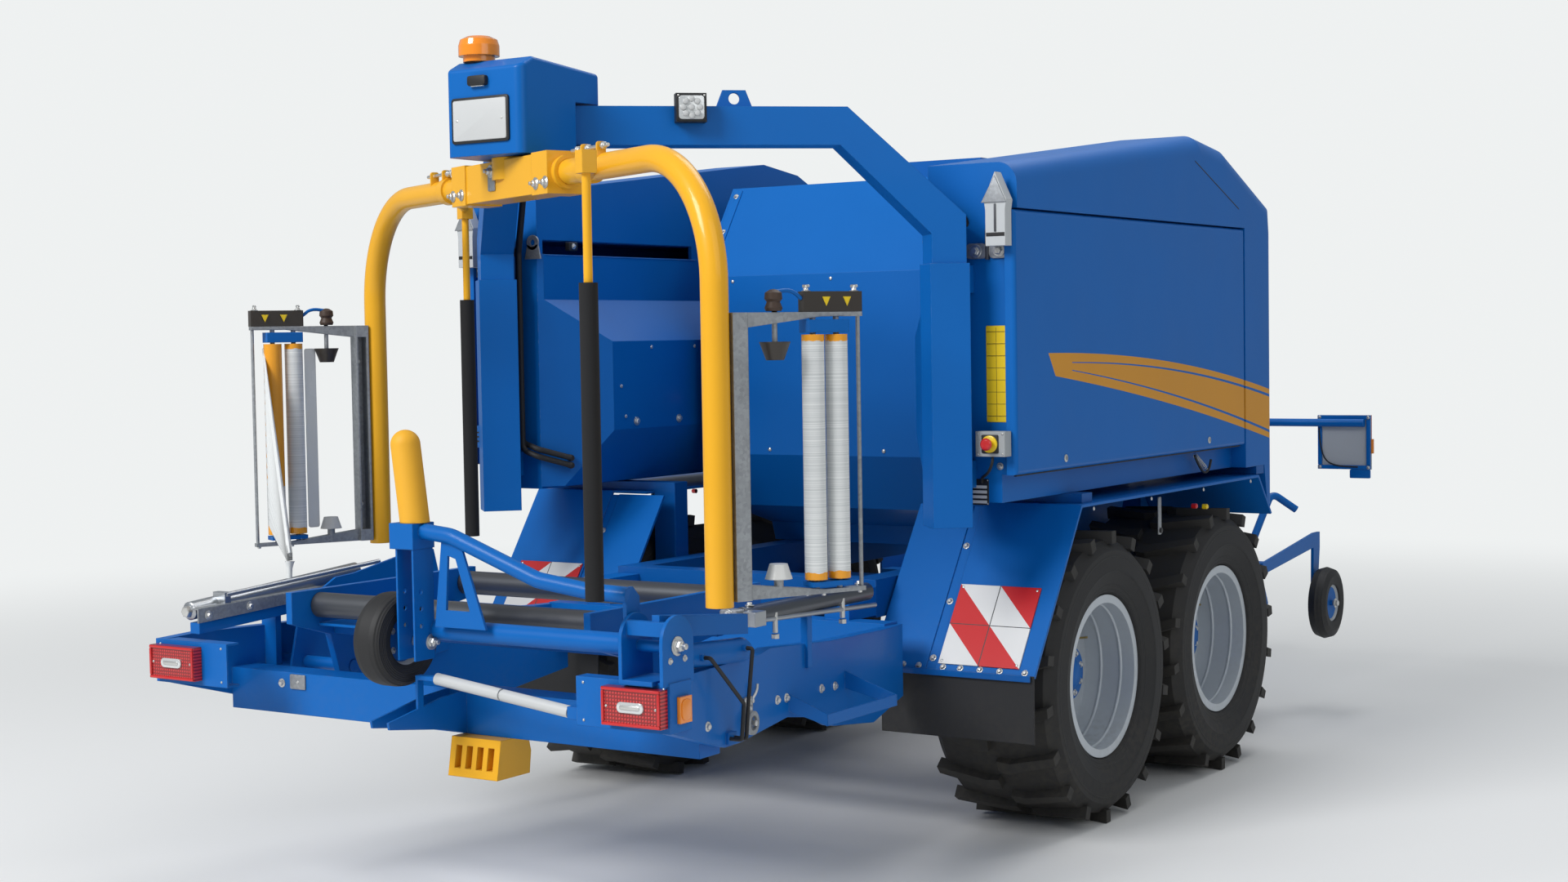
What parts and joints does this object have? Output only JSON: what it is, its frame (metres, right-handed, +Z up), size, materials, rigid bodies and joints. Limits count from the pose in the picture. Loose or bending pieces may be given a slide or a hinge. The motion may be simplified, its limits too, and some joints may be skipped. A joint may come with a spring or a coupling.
{
  "type": "towed round baler with bale wrapper",
  "caption": "Towed machine that presses round bales in a closed chamber and wraps them in film with a twin-arm rotor over a tilting table behind it.",
  "frame": {"origin": "on the ground at the middle of the machine's length and width, below the bale chamber's rear half", "axes": "+Y points in the direction of travel, +X to the machine's right-hand side, +Z up"},
  "size_m": [3.1869, 7.7998, 3.2644],
  "materials": {
    "blue_paint": "gloss blue paint",
    "yellow_paint": "gloss warm yellow paint",
    "silver_rim": "silver lacquer",
    "tyre_rubber": "matt black rubber",
    "black_rubber": "matt black rubber",
    "dark_steel": "dark grey paint",
    "galvanised": "galvanised steel",
    "film_roller": "ribbed aluminium roller with film on it",
    "lamp_amber": "clear amber plastic",
    "grey_paint": "light grey paint",
    "board_white": "white board with plain red fields",
    "black_plastic": "black plastic",
    "white_plastic": "white plastic",
    "yellow_plastic": "yellow plastic",
    "black_foam": "black foam sleeve",
    "yellow_foam": "yellow padded sleeve",
    "lamp_red": "clear red plastic"
  },
  "bodies": {
    "chassis": {"main_frame": "blue_paint", "bogie_beams": "dark_steel", "drawbar": "blue_paint", "gearbox": "dark_steel", "stand_sleeve": "galvanised", "chamber_front": "blue_paint", "housing_right": "blue_paint", "housing_left": "blue_paint", "rear_fittings": "grey_paint", "fenders": "blue_paint", "mudflaps": "black_rubber", "marker_boards": "board_white", "marker_lamps": "lamp_amber", "work_lamps": "black_plastic", "beacon": "lamp_amber", "hoses": "black_rubber", "white_tube": "white_plastic", "wheel_chock": "yellow_plastic", "gantry": "blue_paint", "gantry_hood": "blue_paint", "table_base": "blue_paint", "rear_lamps": "lamp_red", "film_clamps": "dark_steel"},
    "stand": {"stand_leg": "galvanised"},
    "tailgate": {"tailgate": "blue_paint"},
    "cover_right": {"cover_right": "blue_paint"},
    "cover_left": {"cover_left": "blue_paint"},
    "rotor": {"rotor_beam": "yellow_paint", "rotor_arms": "yellow_paint", "film_frames": "galvanised", "film_caps": "blue_paint", "film_holders": "black_plastic", "safety_foam": "black_foam"},
    "table": {"table_frame": "blue_paint"},
    "table_roller_front": {"table_roller_front": "dark_steel"},
    "table_roller_rear": {"table_roller_rear": "dark_steel"},
    "tipper": {"tipper_arm": "blue_paint", "tipper_pad": "yellow_foam"},
    "tipper_wheel": {"tipper_wheel": "black_rubber"},
    "pickup": {"pickup_frame": "blue_paint", "stripper_bands": "galvanised"},
    "tine_reel": {"tine_reel": "dark_steel"},
    "gauge_wheel_right": {"gauge_wheel_right": "black_rubber"},
    "gauge_wheel_left": {"gauge_wheel_left": "black_rubber"},
    "wheel_front_right": {"wheel_front_right": "silver_rim", "tyre_front_right": "tyre_rubber"},
    "wheel_rear_right": {"wheel_rear_right": "silver_rim", "tyre_rear_right": "tyre_rubber"},
    "film_roller_inner_right": {"film_roller_inner_right": "film_roller"},
    "film_roller_outer_right": {"film_roller_outer_right": "film_roller"},
    "wheel_front_left": {"wheel_front_left": "silver_rim", "tyre_front_left": "tyre_rubber"},
    "wheel_rear_left": {"wheel_rear_left": "silver_rim", "tyre_rear_left": "tyre_rubber"},
    "film_roller_inner_left": {"film_roller_inner_left": "film_roller"},
    "film_roller_outer_left": {"film_roller_outer_left": "film_roller"}
  },
  "joints": [
    {"name": "wheel_front_right_spin", "type": "hinge", "parent": "chassis", "child": "wheel_front_right", "pos_m": [1.125, 0.498, 0.63], "axis": [1, 0, 0], "continuous": true},
    {"name": "wheel_rear_right_spin", "type": "hinge", "parent": "chassis", "child": "wheel_rear_right", "pos_m": [1.125, -0.818, 0.63], "axis": [1, 0, 0], "continuous": true},
    {"name": "wheel_front_left_spin", "type": "hinge", "parent": "chassis", "child": "wheel_front_left", "pos_m": [-1.125, 0.498, 0.63], "axis": [1, 0, 0], "continuous": true},
    {"name": "wheel_rear_left_spin", "type": "hinge", "parent": "chassis", "child": "wheel_rear_left", "pos_m": [-1.125, -0.818, 0.63], "axis": [1, 0, 0], "continuous": true},
    {"name": "rotor_turn", "type": "hinge", "parent": "chassis", "child": "rotor", "pos_m": [0, -3.03, 2.722], "axis": [0, 0, 1], "continuous": true},
    {"name": "film_roller_inner_right_spin", "type": "hinge", "parent": "rotor", "child": "film_roller_inner_right", "pos_m": [1.49753, -3.32356, 1.7], "axis": [0, 0, 1], "continuous": true},
    {"name": "film_roller_outer_right_spin", "type": "hinge", "parent": "rotor", "child": "film_roller_outer_right", "pos_m": [1.53671, -3.24031, 1.7], "axis": [0, 0, 1], "continuous": true},
    {"name": "film_roller_inner_left_spin", "type": "hinge", "parent": "rotor", "child": "film_roller_inner_left", "pos_m": [-1.49753, -2.73644, 1.7], "axis": [0, 0, 1], "continuous": true},
    {"name": "film_roller_outer_left_spin", "type": "hinge", "parent": "rotor", "child": "film_roller_outer_left", "pos_m": [-1.53671, -2.81969, 1.7], "axis": [0, 0, 1], "continuous": true},
    {"name": "tailgate_open", "type": "hinge", "parent": "chassis", "child": "tailgate", "pos_m": [0, 0.29, 2.79], "axis": [-1, 0, 0], "range_deg": [0, 50]},
    {"name": "cover_right_open", "type": "hinge", "parent": "chassis", "child": "cover_right", "pos_m": [1.42, -0.475, 2.605], "axis": [0, -1, 0], "range_deg": [0, 75]},
    {"name": "cover_left_open", "type": "hinge", "parent": "chassis", "child": "cover_left", "pos_m": [-1.42, -0.475, 2.605], "axis": [0, 1, 0], "range_deg": [0, 75]},
    {"name": "table_tilt", "type": "hinge", "parent": "chassis", "child": "table", "pos_m": [0, -3.24, 0.86], "axis": [1, 0, 0], "range_deg": [0, 30]},
    {"name": "table_roller_front_spin", "type": "hinge", "parent": "table", "child": "table_roller_front", "pos_m": [0, -2.58, 1.12], "axis": [1, 0, 0], "continuous": true},
    {"name": "table_roller_rear_spin", "type": "hinge", "parent": "table", "child": "table_roller_rear", "pos_m": [0, -3.415, 1.12], "axis": [1, 0, 0], "continuous": true},
    {"name": "tipper_swing", "type": "hinge", "parent": "chassis", "child": "tipper", "pos_m": [0.97, -3.7, 1.11], "axis": [-1, 0, 0], "range_deg": [-60, 0]},
    {"name": "tipper_wheel_spin", "type": "hinge", "parent": "tipper", "child": "tipper_wheel", "pos_m": [-0.01, -3.733, 1.07], "axis": [1, 0, 0], "continuous": true},
    {"name": "pickup_lift", "type": "hinge", "parent": "chassis", "child": "pickup", "pos_m": [0, 1.19, 1], "axis": [1, 0, 0], "range_deg": [-18, 0]},
    {"name": "tine_reel_spin", "type": "hinge", "parent": "pickup", "child": "tine_reel", "pos_m": [0, 1.89, 0.56], "axis": [1, 0, 0], "continuous": true},
    {"name": "gauge_wheel_right_spin", "type": "hinge", "parent": "pickup", "child": "gauge_wheel_right", "pos_m": [1.29, 2.29, 0.6], "axis": [1, 0, 0], "continuous": true},
    {"name": "gauge_wheel_left_spin", "type": "hinge", "parent": "pickup", "child": "gauge_wheel_left", "pos_m": [-1.29, 2.29, 0.6], "axis": [1, 0, 0], "continuous": true},
    {"name": "stand_slide", "type": "slide", "parent": "chassis", "child": "stand", "axis": [0, 0, 1], "range_m": [0, 0.38]}
  ]
}
